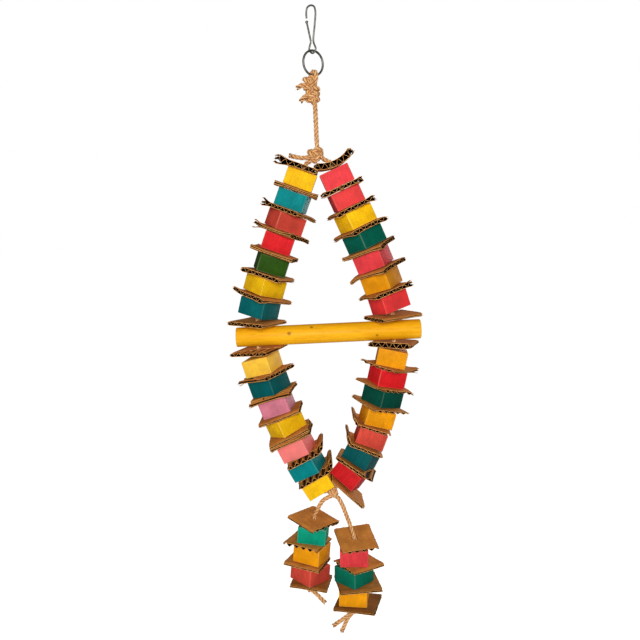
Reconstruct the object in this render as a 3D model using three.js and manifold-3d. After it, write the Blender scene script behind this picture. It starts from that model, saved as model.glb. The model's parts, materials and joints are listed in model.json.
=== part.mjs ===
// Hanging chew toy for birds: corrugated card squares and dyed wood blocks strung on sisal cord.
// Two strands hold a perch, two more close a diamond under it, and two tassels hang below.
// Millimetres, +Z up, -Y is the front. The origin is inside the top bow of the wire clip.
import * as THREE from "three";
import { mergeVertices } from "three/addons/utils/BufferGeometryUtils.js";
import Module from "manifold-3d";

const wasm = await Module();
wasm.setup();

// Clearances
const seatGap = 0.3;
const loopClearance = 0.6;
const gateClearance = 0.5;

// Cord
const cordDiameter = 4.4;
const cordSides = 6;
const windingSides = 5;

// Dyed wood blocks
const blockSide = 30;
const blockThickness = 17.6;
const beadBore = 7;
const boreSides = 6;

// Corrugated cards
const cardSide = 45;
const tasselCardSide = 40;
const cardThickness = 3.6;
const crushedThickness = 2.6;
const linerThickness = 0.45;
const mediumThickness = 0.5;
const flutePitch = 7.5;
const glueHalfWidth = 0.4;
const crushReach = 4.1;
const creaseHalfWidth = 0.5;
const creaseReach = 19.5;
const flangeShift = 6;
const topCardCurl = 40;

// Perch
const perchDiameter = 20;
const perchLeftOverhang = 22;
const perchRightOverhang = 28;
const perchBore = 6;
const perchChamfer = 1.2;
const perchSides = 16;

// Wire clip
const clipWire = 1.8;
const clipHeight = 43;
const clipWidth = 12;
const clipNeckHeight = 33;
const clipNeckReach = 1.45;
const clipTurn = -30;
const clipSteps = 30;
const eyeWidth = 9;
const gateHeight = 21;
const gateTip = 3;
const wireSides = 5;

// Steel ring
const ringDiameter = 26;
const ringWire = 2.2;
const ringTurn = 37;
const ringSegments = 18;

// Knots wound in the cord, and the plain drop between the two knots of the hanger
const knotPitch = 4.8;
const knotOverlap = 1;
const knotSteps = 5;
const ringKnotTurns = 3.4;
const apexKnotTurns = 1.6;
const bottomKnotTurns = 1.2;
const tasselKnotTurns = 1.3;
const hangerLength = 43;

// Upper strands: the first block's place under the apex knot, the lean from plumb, and the top cards
const firstBlockReach = 18.2;
const firstBlockDrop = 17.6;
const upperLeanStart = 22.5;
const upperLeanEnd = 13.5;
const upperLeanPower = 3;
const upperSlack = 0.2;
const perchCardLean = 4;
const topCardLean = 16;
const topCardLift = 1;
const leftTopCardShift = -8;
const rightTopCardShift = 4;

// Lower strands: lean from plumb, where the left one ends, and the knot that ties them
const lowerLeftLeanStart = 14;
const lowerLeftLeanPower = 1.2;
const lowerLeftEndReach = 11;
const lowerRightLeanStart = 14;
const lowerRightLeanPower = 3;
const lastCardShift = 7;
const strandClearance = 4.5;
const bottomKnotRise = 1.6;

// Tassels
const leftTasselReach = 21;
const leftTasselDrop = 22;
const leftTasselLean = 7;
const leftTasselNod = 7;
const rightTasselReach = 20;
const rightTasselDrop = 46;
const rightTasselLean = 2;
const rightTasselNod = 16;
const nodReach = 16.5;
const tasselSlack = 0.3;
const tasselKnotRise = 0.5;

// Loose cord ends: points chosen by hand from the top of their knot, as right, back and up.
const ringKnotTails = [
  [[-1, -1, -4], [-11, -5, -3], [-17, -6, -9]],
  [[-1, -1, -14], [-8, -6, -18], [-13, -8, -25]],
];
const apexKnotTails = [[[-1, -2, -7], [-14, -3, -9], [-28, -3, -6]]];
const leftTasselTails = [[[0, 0, -7], [8, -2, -14], [16, -3, -23]]];
const rightTasselTails = [
  [[0, 0, -7], [-8, -2, -16], [-18, -3, -26]],
  [[0, 0, -7], [-11, -2, -14], [-23, -3, -20]],
];

const cordRadius = cordDiameter / 2;
const perchRadius = perchDiameter / 2;
const blockSweep = blockSide * Math.SQRT1_2;
const degrees = THREE.MathUtils.degToRad;

const dye = {
  yellow: 0xf9c21c,
  amber: 0xeb9a14,
  teal: 0x0a8f88,
  sea: 0x0a6a5e,
  green: 0x2f6f1c,
  jade: 0x12a07c,
  red: 0xdc2a30,
  coral: 0xcd4a3c,
  pink: 0xf0646c,
  mauve: 0xd27d8c,
};

// Beads in their order down a strand, each with its turn about the cord in degrees. The open flutes
// of a card face the front at no turn, those of a plain card face the sides. A card may have its own
// node, a side or lean of its own, a nod to the front, a shift sideways on the cord, a curl or a fold.
const block = (colour, turn) => ({ colour, turn, half: blockThickness / 2 });
const card = (turn, shape = {}) => ({
  isCard: true,
  turn,
  side: cardSide,
  thickness: cardThickness,
  half: cardThickness / 2,
  shift: 0,
  ...shape,
});
const plain = (turn, shape) => card(turn + 90, shape);
const crushed = { thickness: crushedThickness, half: crushedThickness / 2 };
const perchCard = { lean: perchCardLean };
const ownPerchCard = { own: true, lean: perchCardLean };

const upperLeftBeads = [
  card(0, { own: true, shift: leftTopCardShift }),
  block("yellow", 0),
  plain(0),
  block("teal", -8),
  card(-25),
  block("coral", 26),
  plain(-26),
  block("red", 0),
  plain(-7),
  block("green", 10),
  card(-18),
  block("yellow", 42),
  card(-40),
  block("teal", -32),
  card(-30, ownPerchCard),
];
const upperRightBeads = [
  card(0, {
    own: true,
    curl: topCardCurl,
    lean: topCardLean,
    lift: topCardLift,
    shift: rightTopCardShift,
  }),
  block("pink", 0),
  card(0),
  block("red", 7),
  card(12),
  block("yellow", 25),
  card(25),
  block("sea", 36),
  plain(-25),
  block("pink", -25),
  plain(-40),
  block("amber", -32),
  card(20),
  block("red", 26),
  plain(24, ownPerchCard),
];
const lowerLeftBeads = [
  card(-25, perchCard),
  block("yellow", -23),
  plain(-45),
  block("teal", -36),
  plain(-10),
  block("mauve", -10),
  plain(-3),
  block("yellow", 34),
  plain(0),
  plain(-3),
  block("pink", -15),
  card(0, { fold: 37, shift: flangeShift }),
  block("teal", -17),
  card(0, { fold: 45, shift: flangeShift }),
  block("yellow", 0),
];
const lowerRightBeads = [
  card(-18, { ...crushed, ...perchCard }),
  block("amber", -3),
  card(-40, crushed),
  block("red", 18),
  card(35, crushed),
  block("sea", 40),
  card(30, crushed),
  block("amber", 9),
  card(0, { ...crushed, fold: -50, shift: -flangeShift }),
  block("coral", 0),
  card(0, { ...crushed, fold: -55, shift: -flangeShift }),
  block("teal", -26),
  card(-10, crushed),
  block("red", -22),
  plain(0, { ...crushed, shift: lastCardShift }),
];
const leftTasselBeads = [
  card(42, { side: tasselCardSide, shift: -1, nod: leftTasselNod }),
  block("jade", -8),
  card(-24, { side: tasselCardSide, shift: -5.5 }),
  block("amber", -25),
  plain(-20, { side: tasselCardSide, shift: -4 }),
  block("coral", 45),
  plain(-10, { side: tasselCardSide, shift: 2 }),
];
const rightTasselBeads = [
  card(11, { side: tasselCardSide, shift: 2.5, nod: rightTasselNod }),
  block("pink", -2),
  plain(32, { side: tasselCardSide, shift: 5 }),
  block("jade", 45),
  plain(8, { shift: 4 }),
  block("amber", -8),
  plain(-15, { shift: 4 }),
];

// A closed geometry as a solid for joining and cutting, and back again.
function solidOf(geometry) {
  const bare = geometry.index ? geometry.toNonIndexed() : geometry.clone();
  bare.deleteAttribute("normal");
  bare.deleteAttribute("uv");
  const merged = mergeVertices(bare, 1e-4);
  return new wasm.Manifold(
    new wasm.Mesh({
      numProp: 3,
      vertProperties: merged.attributes.position.array,
      triVerts: new Uint32Array(merged.index.array),
    }),
  );
}

function geometryOf(solid) {
  const mesh = solid.getMesh();
  const geometry = new THREE.BufferGeometry();
  geometry.setAttribute("position", new THREE.BufferAttribute(mesh.vertProperties, 3));
  geometry.setIndex(new THREE.BufferAttribute(mesh.triVerts, 1));
  geometry.computeVertexNormals();
  return geometry;
}

// Pieces as one solid, with any pocket that they seal between them, as in a tight knot, filled.
function joined(geometries) {
  const whole = geometries.map(solidOf).reduce((sum, piece) => sum.add(piece));
  const bodies = whole.decompose().filter((body) => body.volume() > 0);
  return geometryOf(wasm.Manifold.compose(bodies));
}

const cut = (geometry, tools) =>
  geometryOf(tools.map(solidOf).reduce((whole, tool) => whole.subtract(tool), solidOf(geometry)));

const standard = (color, roughness, metalness = 0) =>
  new THREE.MeshStandardMaterial({ color, roughness, metalness });

const sisal = standard(0xd9985c, 0.95);
const kraft = standard(0xb57a3e, 0.9);
const perchWood = standard(0xf2ad18, 0.55);
const steel = standard(0x8c8f94, 0.35, 1);

// The corners of a regular polygon; the flats of a bore lie on its circle.
function polygon(diameter, sides, isBore = false) {
  const radius = isBore ? diameter / 2 / Math.cos(Math.PI / sides) : diameter / 2;
  const corners = [];
  for (let i = 0; i < sides; i++) {
    const angle = ((i + 0.5) / sides) * 2 * Math.PI;
    corners.push(new THREE.Vector2(radius * Math.cos(angle), radius * Math.sin(angle)));
  }
  return corners;
}

function tube(curve, diameter, sides, steps) {
  return new THREE.ExtrudeGeometry(new THREE.Shape(polygon(diameter, sides)), {
    steps,
    extrudePath: curve,
    bevelEnabled: false,
  });
}

// A path from point to point, so that a cord along it gets one ring at each point.
class Route extends THREE.Curve {
  constructor(points) {
    super();
    this.points = points;
  }

  getPoint(t, target = new THREE.Vector3()) {
    const place = t * (this.points.length - 1);
    const i = Math.min(Math.floor(place), this.points.length - 2);
    return target.lerpVectors(this.points[i], this.points[i + 1], place - i);
  }

  getPointAt(t, target) {
    return this.getPoint(t, target);
  }

  getTangentAt(t, target) {
    return this.getTangent(t, target);
  }
}

const cordAlong = (points) => tube(new Route(points), cordDiameter, cordSides, points.length - 1);

// Cord wound round a straight core, from the top down, with both ends led into the core.
class Winding extends THREE.Curve {
  constructor(top, turns) {
    super();
    this.top = top;
    this.turns = turns;
    this.radius = cordDiameter - knotOverlap;
  }

  getPoint(t, target = new THREE.Vector3()) {
    const angle = 2 * Math.PI * this.turns * t;
    const led = Math.min(1, 2 * knotSteps * Math.min(t, 1 - t));
    target.set(Math.cos(angle), Math.sin(angle), 0).multiplyScalar(this.radius * led);
    target.z = -knotPitch * this.turns * t;
    return target.add(this.top);
  }
}

const knotHeight = (turns) => knotPitch * turns + cordDiameter;
const lowered = (point, depth) => new THREE.Vector3(point.x, point.y, point.z - depth);

// The turns and the loose ends of a stopper knot, its top at the given point of the cord in it.
function knotPieces(top, turns, tails = []) {
  const winding = new Winding(lowered(top, cordRadius), turns);
  return [
    tube(winding, cordDiameter, windingSides, Math.round(knotSteps * turns)),
    ...tails.map((points) => cordAlong(points.map(([x, y, z]) => new THREE.Vector3(x, y, z).add(top)))),
  ];
}

// An outline in the plane of the card's section as a solid along Y.
function alongFlutes(outline, from, to) {
  const solid = new THREE.ExtrudeGeometry(outline, { depth: to - from, steps: 1, bevelEnabled: false });
  return solid.translate(0, 0, -to).rotateX(Math.PI / 2);
}

// A card on its cord, the cord along Z through the origin and the flutes along Y. The flutes are
// tunnels between two liners, above and below a wavy medium. They are crushed round the cord and
// along a crease.
function cardGeometry(bead) {
  const { side, turn, thickness, shift, fold = 0, curl = 0 } = bead;
  const half = thickness / 2;
  const across = shift * Math.cos(degrees(turn));
  const along = -shift * Math.sin(degrees(turn));
  const crease = Math.sign(fold) * creaseReach;
  const hinge = new THREE.Vector2(crease, half);
  const formed = (u, w) => {
    if (curl) {
      const angle = u / curl;
      return new THREE.Vector2((curl - w) * Math.sin(angle), curl - (curl - w) * Math.cos(angle));
    }
    const point = new THREE.Vector2(u, w);
    return fold && (u - crease) * fold > 0 ? point.rotateAround(hinge, degrees(fold)) : point;
  };
  const halfWaves = 2 * Math.round(side / flutePitch);
  const span = side / halfWaves;
  const left = across - side / 2;
  const right = across + side / 2;
  const stations = Array.from({ length: halfWaves + 1 }, (_, i) => left + i * span);
  const creased = [left, crease - creaseHalfWidth, crease + creaseHalfWidth, right];
  const stops = curl ? stations : fold ? creased.sort((a, b) => a - b) : [left, right];
  const sheet = new THREE.Shape([
    ...stops.map((u) => formed(u, -half)),
    ...stops.map((u) => formed(u, half)).reverse(),
  ]);
  const front = along - side / 2;
  const back = along + side / 2;
  const tunnels = [];
  for (const [i, u] of stations.entries()) {
    const from = u - span + glueHalfWidth;
    const to = u + span - glueHalfWidth;
    const isCreased = fold && from < crease + creaseHalfWidth && to > crease - creaseHalfWidth;
    if (i === 0 || i === halfWaves || isCreased) continue;
    const rise = i % 2 ? 1 : -1;
    const base = rise * (linerThickness - half);
    const ridge = rise * (half - linerThickness - mediumThickness);
    const outline = new THREE.Shape([formed(from, base), formed(to, base), formed(u, ridge)]);
    if (from < crushReach && to > -crushReach) {
      tunnels.push(alongFlutes(outline, front - crushReach, -crushReach));
      tunnels.push(alongFlutes(outline, crushReach, back + crushReach));
    } else {
      tunnels.push(alongFlutes(outline, front - crushReach, back + crushReach));
    }
  }
  return cut(alongFlutes(sheet, front, back), tunnels);
}

function punchedCard(bead) {
  const radius = beadBore / 2 / Math.cos(Math.PI / boreSides);
  const punch = new THREE.CylinderGeometry(radius, radius, 4 * bead.thickness, boreSides);
  return cut(cardGeometry(bead), [punch.rotateX(Math.PI / 2)]);
}

// A square block with a bore along Z.
function blockGeometry() {
  const outline = new THREE.Shape(polygon(blockSide, 4, true));
  outline.holes.push(new THREE.Path(polygon(beadBore, boreSides, true).reverse()));
  const solid = new THREE.ExtrudeGeometry(outline, { depth: blockThickness, steps: 1, bevelEnabled: false });
  return solid.translate(0, 0, -blockThickness / 2);
}

// Unit vector down a strand that leans from plumb towards +X by an angle in degrees.
const downAlong = (lean) =>
  new THREE.Vector3(Math.sin(degrees(lean)), 0, -Math.cos(degrees(lean)));

// Places beads down a strand from the first one's place. Between two beads the gap grows with the
// turn between them, so that the corner of a turning block clears the card beside it, and below a card
// that nods to the front.
function thread(start, beads, leanAt, side, slack = 0) {
  const point = start.clone();
  let last = null;
  beads.forEach((bead, i) => {
    const follows = bead.isCard && last && last.isCard;
    const free = follows ? last.lean : leanAt(i, beads.length);
    const lean = bead.lean === undefined ? free : bead.lean * side;
    if (last) {
      const turn = degrees(Math.abs(lean - last.lean));
      const nodRise = nodReach * Math.tan(degrees(last.nod ?? 0));
      const gap = seatGap + slack + nodRise + blockSweep * Math.tan(turn);
      point.addScaledVector(downAlong(last.lean), last.half);
      point.addScaledVector(downAlong((lean + last.lean) / 2), gap);
      point.addScaledVector(downAlong(lean), bead.half);
    }
    bead.lean = lean;
    bead.place = point.clone();
    last = bead;
  });
  return point.addScaledVector(downAlong(last.lean), last.half);
}

// A point on the cord just above a bead.
const entryTo = (bead) => bead.place.clone().addScaledVector(downAlong(bead.lean), -cordDiameter);

const easedLean = (from, to, power) => (i, count) =>
  from + (to - from) * (i / (count - 1)) ** power;

const toy = new THREE.Group();
toy.name = "bird_chew_toy";

function addMesh(name, geometry, material) {
  const mesh = new THREE.Mesh(geometry, material);
  mesh.name = name;
  toy.add(mesh);
  return mesh;
}

function seat(object, bead) {
  object.position.copy(bead.place);
  object.rotation.set(degrees(bead.nod ?? 0), -degrees(bead.lean), degrees(bead.turn));
  object.updateMatrix();
  return object;
}

// The beads of one strand: blocks and own cards as meshes, the other cards fused with the cord.
function addStrand(name, beads, cords, cardsAreOwn = false) {
  const fused = [...cords];
  let blocks = 0;
  let cards = 0;
  for (const bead of beads) {
    if (!bead.isCard) {
      blocks += 1;
      const wood = standard(dye[bead.colour], 0.6);
      seat(addMesh(`${name}_block_${blocks}`, blockGeometry(), wood), bead);
      continue;
    }
    cards += 1;
    if (bead.own || cardsAreOwn) {
      seat(addMesh(`${name}_card_${cards}`, punchedCard(bead), kraft), bead);
      continue;
    }
    const holder = seat(new THREE.Object3D(), bead);
    fused.push(cardGeometry(bead).applyMatrix4(holder.matrix));
  }
  addMesh(`${name}_cord`, joined(fused), sisal);
}

// Wire clip: an eye at the foot, two legs, a bow over the top and a sprung gate in the left leg.
const clipPlane = new THREE.Matrix4().makeRotationZ(degrees(clipTurn));
const inClip = (a, z) => new THREE.Vector3(a, 0, z).applyMatrix4(clipPlane);
const wireRadius = clipWire / 2;
const legReach = clipWidth / 2 - wireRadius;
const bowReach = legReach * Math.SQRT1_2;
const bowShoulder = wireRadius - legReach + bowReach;
const eyeReach = eyeWidth / 2 - wireRadius;
const eyeBelly = -(clipNeckHeight + 3 * clipHeight) / 4;
const catchFoot = gateHeight - clipNeckHeight;
const clipCurve = new THREE.CatmullRomCurve3(
  [
    inClip(-legReach, catchFoot + gateTip / 2),
    inClip(-legReach, -legReach),
    inClip(-bowReach, bowShoulder),
    inClip(0, wireRadius),
    inClip(bowReach, bowShoulder),
    inClip(legReach, -legReach),
    inClip((legReach + clipWire) / 2, -(clipNeckHeight + legReach) / 2),
    inClip(clipNeckReach, -clipNeckHeight),
    inClip(eyeReach, eyeBelly),
    inClip(0, -clipHeight - wireRadius),
    inClip(-eyeReach, eyeBelly),
    inClip(-clipNeckReach, -clipNeckHeight),
  ],
  false,
  "centripetal",
);
addMesh("clip_wire", tube(clipCurve, clipWire, wireSides, clipSteps), steel);

const gateFoot = inClip(-clipNeckReach, gateClearance - clipNeckHeight);
const gateHead = inClip(-legReach, catchFoot - gateClearance - gateTip / 2);
const gateRod = tube(new THREE.LineCurve3(gateFoot, gateHead), clipWire, wireSides, 1);
const gateBall = new THREE.SphereGeometry(gateTip / 2, 6, 4).translate(gateHead.x, gateHead.y, gateHead.z);
addMesh("clip_gate", joined([gateRod, gateBall]), steel);

// Ring hanging in the eye of the clip.
const ringReach = (ringDiameter - ringWire) / 2;
const ringTop = loopClearance + ringWire / 2 - clipHeight;
const ringMiddle = ringTop - ringReach;
const ringFoot = ringMiddle - ringReach;
const ring = new THREE.TorusGeometry(ringReach, ringWire / 2, wireSides, ringSegments);
ring.rotateX(Math.PI / 2);
ring.rotateZ(degrees(ringTurn));
ring.translate(0, 0, ringMiddle);
addMesh("steel_ring", ring, steel);

// Hanger cord: a loop round the foot of the ring, a knot, a plain drop and the apex knot.
const loopReach = ringWire / 2 + loopClearance + cordRadius;
const acrossRing = new THREE.Vector3(-Math.sin(degrees(ringTurn)), Math.cos(degrees(ringTurn)), 0);
const ringKnotTop = new THREE.Vector3(0, 0, ringFoot - loopReach - cordRadius);
const inLoop = (degree, reach, z) =>
  acrossRing.clone().multiplyScalar(reach * Math.sin(degrees(degree))).setZ(z);
const loopTurns = [-120, -80, -40, 0, 40, 80, 120];
const loopArc = loopTurns.map((turn) =>
  inLoop(turn, loopReach, ringFoot + loopReach * Math.cos(degrees(turn))),
);
const loopLeg = (side) => inLoop(90 * side, cordRadius / 2, ringKnotTop.z - cordRadius);
const loop = cordAlong([loopLeg(-1), ...loopArc, loopLeg(1)]);
const apexKnotTop = lowered(ringKnotTop, knotHeight(ringKnotTurns) + hangerLength);
const apexKnotFoot = lowered(apexKnotTop, knotHeight(apexKnotTurns));
const apex = apexKnotFoot.z;
const hangerPieces = [
  loop,
  cordAlong([ringKnotTop, apexKnotFoot]),
  ...knotPieces(ringKnotTop, ringKnotTurns, ringKnotTails),
  ...knotPieces(apexKnotTop, apexKnotTurns, apexKnotTails),
];
addMesh("hanger_cord", joined(hangerPieces), sisal);

// Upper strands, from the apex knot to the perch. The top card of each sits on its first block.
const uppers = [
  ["upper_left", upperLeftBeads, -1],
  ["upper_right", upperRightBeads, 1],
];
let perchTop = 0;
let holeReach = 0;
for (const [, beads, side] of uppers) {
  const [topCard, ...rest] = beads;
  const first = new THREE.Vector3(side * firstBlockReach, 0, apex - firstBlockDrop);
  const lean = easedLean(side * upperLeanStart, side * upperLeanEnd, upperLeanPower);
  const end = thread(first, rest, lean, side, upperSlack);
  const { half, place } = rest[0];
  const rise = half + seatGap + (topCard.lift ?? 0) + topCard.half;
  topCard.place = place.clone().addScaledVector(downAlong(rest[0].lean), -rise);
  topCard.lean = side * (topCard.lean ?? upperLeanStart);
  const edgeDrop = cardSide * Math.SQRT1_2 * Math.sin(degrees(perchCardLean));
  perchTop = Math.min(perchTop, end.z - seatGap - edgeDrop);
  holeReach = Math.max(holeReach, Math.abs(end.x));
}
for (const [name, beads, side] of uppers) {
  const route = [
    new THREE.Vector3(side * (cordRadius + seatGap), 0, apex - cordRadius - seatGap),
    entryTo(beads[0]),
    ...beads.map((bead) => bead.place),
    new THREE.Vector3(side * holeReach, 0, perchTop + seatGap),
  ];
  addStrand(name, beads, [cordAlong(route)]);
}

// Perch with a bore for each strand, and the cord inside the bores.
const perchMiddle = perchTop - perchRadius;
const perchFoot = perchMiddle - perchRadius;
const perchLeftEnd = -holeReach - perchLeftOverhang;
const perchRightEnd = holeReach + perchRightOverhang;
const perchProfile = [
  new THREE.Vector2(0, perchLeftEnd),
  new THREE.Vector2(perchRadius - perchChamfer, perchLeftEnd),
  new THREE.Vector2(perchRadius, perchLeftEnd + perchChamfer),
  new THREE.Vector2(perchRadius, perchRightEnd - perchChamfer),
  new THREE.Vector2(perchRadius - perchChamfer, perchRightEnd),
  new THREE.Vector2(0, perchRightEnd),
];
const perchBody = new THREE.LatheGeometry(perchProfile, perchSides).rotateZ(-Math.PI / 2);
const perchBores = [-holeReach, holeReach].map((x) => {
  const radius = perchBore / 2 / Math.cos(Math.PI / boreSides);
  const bore = new THREE.CylinderGeometry(radius, radius, 2 * perchDiameter, boreSides);
  return bore.rotateX(Math.PI / 2).translate(x, 0, 0);
});
const perch = addMesh("perch", cut(perchBody, perchBores), perchWood);
perch.position.z = perchMiddle;
const perchCordReach = Math.sqrt(perchRadius ** 2 - cordRadius ** 2) - seatGap;
for (const [name, x] of [
  ["left_perch_cord", -holeReach],
  ["right_perch_cord", holeReach],
]) {
  const route = [perchCordReach, -perchCordReach].map((z) => new THREE.Vector3(x, 0, perchMiddle + z));
  addMesh(name, cordAlong(route), sisal);
}

// Lower strands, from the perch to the bottom knot. The lean at the end is found so that the strand
// closes at its own reach from the middle: the right cord passes the last block of the left strand.
function closeStrand(beads, side, leanStart, power, endReach) {
  const edgeDrop = cardSide * Math.SQRT1_2 * Math.sin(degrees(perchCardLean));
  const first = new THREE.Vector3(side * holeReach, 0, perchFoot - seatGap - edgeDrop - beads[0].half);
  const closing = (endLean) => {
    const lean = easedLean(-side * leanStart, -side * endLean, power);
    const placed = beads.map((bead) => ({ ...bead }));
    const end = thread(first, placed, lean, -side);
    return { placed, end };
  };
  let low = 0;
  let high = 80;
  while (high - low > 1e-6) {
    const middle = (low + high) / 2;
    if (closing(middle).end.x * side > endReach) low = middle;
    else high = middle;
  }
  return closing(low);
}
const left = closeStrand(lowerLeftBeads, -1, lowerLeftLeanStart, lowerLeftLeanPower, lowerLeftEndReach);
const lastBlock = left.placed[left.placed.length - 1];
const lastCorner = left.end.x + (blockSide / 2) * Math.cos(degrees(lastBlock.lean));
const rightEndReach = lastCorner + cordRadius + strandClearance;
const right = closeStrand(lowerRightBeads, 1, lowerRightLeanStart, lowerRightLeanPower, rightEndReach);
const bottomKnotTop = new THREE.Vector3(0, 0, left.end.z + bottomKnotRise);
const bottomKnotFoot = lowered(bottomKnotTop, knotHeight(bottomKnotTurns));
const leftExit = left.end.clone().addScaledVector(downAlong(lastBlock.lean), cordRadius + seatGap);
const leftRoute = [
  new THREE.Vector3(-holeReach, 0, perchFoot - seatGap),
  ...left.placed.map((bead) => bead.place),
  left.end,
  leftExit,
  new THREE.Vector3(0, 0, leftExit.z),
];
const rightRoute = [
  new THREE.Vector3(holeReach, 0, perchFoot - seatGap),
  ...right.placed.map((bead) => bead.place),
  right.end,
  new THREE.Vector3(cordRadius, 0, bottomKnotTop.z + seatGap),
];
const bottomKnot = [
  cordAlong([bottomKnotTop, bottomKnotFoot]),
  ...knotPieces(bottomKnotTop, bottomKnotTurns),
];
addStrand("lower_left", left.placed, [cordAlong(leftRoute), ...bottomKnot]);
addStrand("lower_right", right.placed, [cordAlong(rightRoute)]);

// Tassels, each a cord led from a rounded end under the bottom knot, with a knot below.
const tasselPivot = bottomKnotFoot.z - seatGap - cordRadius;
for (const [name, beads, side, reach, drop, lean, tails] of [
  ["left_tassel", leftTasselBeads, -1, leftTasselReach, leftTasselDrop, leftTasselLean, leftTasselTails],
  ["right_tassel", rightTasselBeads, 1, rightTasselReach, rightTasselDrop, rightTasselLean, rightTasselTails],
]) {
  const start = new THREE.Vector3(side * (cordRadius + seatGap / 2), 0, tasselPivot);
  const first = new THREE.Vector3(side * reach, 0, tasselPivot - drop);
  const knotTop = thread(first, beads, () => -lean, 1, tasselSlack);
  knotTop.z += tasselKnotRise;
  const end = new THREE.SphereGeometry(cordRadius, cordSides, 4).translate(start.x, start.y, start.z);
  const knotFoot = lowered(knotTop, knotHeight(tasselKnotTurns));
  const route = [start, entryTo(beads[0]), knotTop, knotFoot];
  const cords = [cordAlong(route), end, ...knotPieces(knotTop, tasselKnotTurns, tails)];
  addStrand(name, beads, cords, true);
}

export default toy;
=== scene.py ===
import json
import math

import bpy
import numpy as np
from mathutils import Matrix, Vector


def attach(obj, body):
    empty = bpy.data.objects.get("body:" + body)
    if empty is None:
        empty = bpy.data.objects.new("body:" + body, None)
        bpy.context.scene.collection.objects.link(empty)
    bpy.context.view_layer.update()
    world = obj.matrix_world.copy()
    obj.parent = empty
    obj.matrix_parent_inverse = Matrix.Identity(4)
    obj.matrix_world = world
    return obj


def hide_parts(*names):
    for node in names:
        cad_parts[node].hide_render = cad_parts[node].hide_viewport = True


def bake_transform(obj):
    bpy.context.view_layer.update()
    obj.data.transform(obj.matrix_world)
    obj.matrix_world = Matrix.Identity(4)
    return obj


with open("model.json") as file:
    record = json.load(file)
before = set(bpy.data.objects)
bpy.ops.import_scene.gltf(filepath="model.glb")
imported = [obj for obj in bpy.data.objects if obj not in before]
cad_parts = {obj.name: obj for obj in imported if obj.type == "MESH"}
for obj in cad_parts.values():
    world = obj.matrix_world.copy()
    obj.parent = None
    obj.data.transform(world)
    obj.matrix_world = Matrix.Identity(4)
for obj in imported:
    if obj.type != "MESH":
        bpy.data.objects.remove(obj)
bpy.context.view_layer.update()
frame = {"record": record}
bodyOf = {node: body for body, nodes in frame["record"]["behaviour"]["bodies"].items() for node in nodes}
mm = 0.001
drillLength = 50  # longer than any bore


# Small helpers for objects
def selectOnly(*objects):
    bpy.ops.object.select_all(action="DESELECT")
    for obj in objects:
        obj.select_set(True)
    if objects:
        bpy.context.view_layer.objects.active = objects[0]


def newObject(name, data):
    obj = bpy.data.objects.new(name, data)
    bpy.context.collection.objects.link(obj)
    return obj


def copyOf(obj, name):
    new = newObject(name, obj.data.copy())
    new.data.name = name
    return new


def applyModifier(obj, kind, **settings):
    selectOnly(obj)
    modifier = obj.modifiers.new(kind.lower(), kind)
    for key, value in settings.items():
        setattr(modifier, key, value)
    bpy.ops.object.modifier_apply(modifier=modifier.name)


def drillHole(obj, diameter, sides, place=(0, 0, 0)):
    selectOnly()
    bpy.ops.mesh.primitive_cylinder_add(
        vertices=sides, radius=diameter / 2 * mm, depth=drillLength * mm, location=place
    )
    drill = bpy.context.object
    applyModifier(obj, "BOOLEAN", object=drill, operation="DIFFERENCE")
    bpy.data.objects.remove(drill)


def smoothBy(obj, degrees):
    selectOnly(obj)
    bpy.ops.object.shade_smooth_by_angle(angle=math.radians(degrees))


def joinAll(objects, name):
    selectOnly(*objects)
    bpy.ops.object.join()
    joined = bpy.context.object
    joined.name = joined.data.name = name
    return joined


def coordsOf(mesh):
    coords = np.empty(len(mesh.vertices) * 3)
    mesh.vertices.foreach_get("co", coords)
    return coords.reshape(-1, 3)


def setCoords(mesh, coords):
    mesh.vertices.foreach_set("co", np.ascontiguousarray(coords, float).ravel())
    mesh.update()


def setAttribute(mesh, name, values):
    values = np.asarray(values, float)
    if values.ndim == 0:  # one value for the whole piece
        values = np.full(len(mesh.vertices), values)
    kind, field = ("FLOAT", "value") if values.ndim == 1 else ("FLOAT_VECTOR", "vector")
    mesh.attributes.new(name, kind, "POINT").data.foreach_set(field, values.ravel())


def deleteVertices(obj, doomed):
    if not doomed.any():
        return
    selectOnly(obj)
    mesh = obj.data
    mesh.polygons.foreach_set("select", np.zeros(len(mesh.polygons), bool))
    mesh.edges.foreach_set("select", np.zeros(len(mesh.edges), bool))
    mesh.vertices.foreach_set("select", doomed)
    bpy.ops.object.mode_set(mode="EDIT")
    bpy.ops.mesh.select_mode(type="VERT")
    bpy.ops.mesh.delete(type="VERT")
    bpy.ops.object.mode_set(mode="OBJECT")


def dress(obj, node, slot, material=None):
    if material:
        obj.data.materials.clear()
        obj.data.materials.append(material)
    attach(obj, bodyOf[node])
    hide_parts(node)


def turned(degrees, axis):
    return Matrix.Rotation(math.radians(degrees), 4, axis)


def eased(low, high, value):
    t = np.clip((value - low) / (high - low), 0, 1)
    return t * t * (3 - 2 * t)


# Camera: the photograph's place and tilt
cameraView = {"place": (-5.1, -810.2, -190.3), "down": 8.2, "roll": -2.69, "lens": 45, "sensor": 36}
cameraData = bpy.data.cameras.new("camera")
cameraData.lens, cameraData.sensor_width = cameraView["lens"], cameraView["sensor"]
camera = newObject("camera", cameraData)
camera.matrix_world = (
    Matrix.Translation(Vector(cameraView["place"]) * mm)
    @ turned(90 - cameraView["down"], "X")
    @ turned(cameraView["roll"], "Z")
)
bpy.context.scene.camera = camera
bpy.context.scene.view_settings.view_transform = "Standard"

black, white = (0, 0, 0, 1), (1, 1, 1, 1)


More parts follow.
